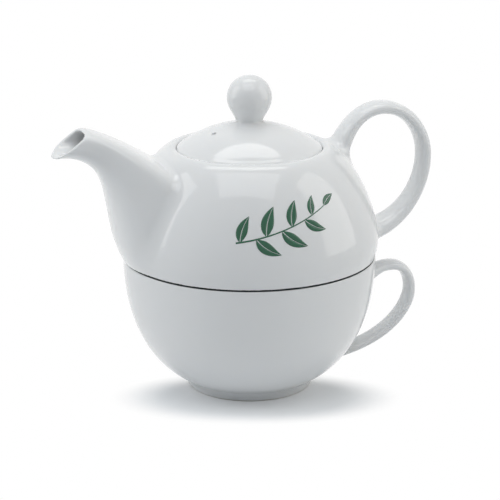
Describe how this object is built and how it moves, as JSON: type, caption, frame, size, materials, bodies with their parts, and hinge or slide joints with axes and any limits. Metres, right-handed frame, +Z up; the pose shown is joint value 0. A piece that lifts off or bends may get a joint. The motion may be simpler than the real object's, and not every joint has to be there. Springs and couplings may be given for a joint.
{
  "type": "tea for one teapot set",
  "caption": "Tea for one: a white glazed teapot with its lid, standing on the cup that continues its outline.",
  "frame": {"origin": "centre of the cup's foot ring, in the plane of the table", "axes": "+Z up along the axis of the turned bodies, spout towards -X, both handles towards +X"},
  "size_m": [0.1701, 0.112, 0.1382],
  "materials": {
    "cup": "glossy white glaze",
    "teapot": "glossy white glaze with a small green leaf print on the front",
    "lid": "glossy white glaze"
  },
  "bodies": {
    "root": {"cup": "cup", "teapot": "teapot", "lid": "lid"}
  },
  "joints": []
}
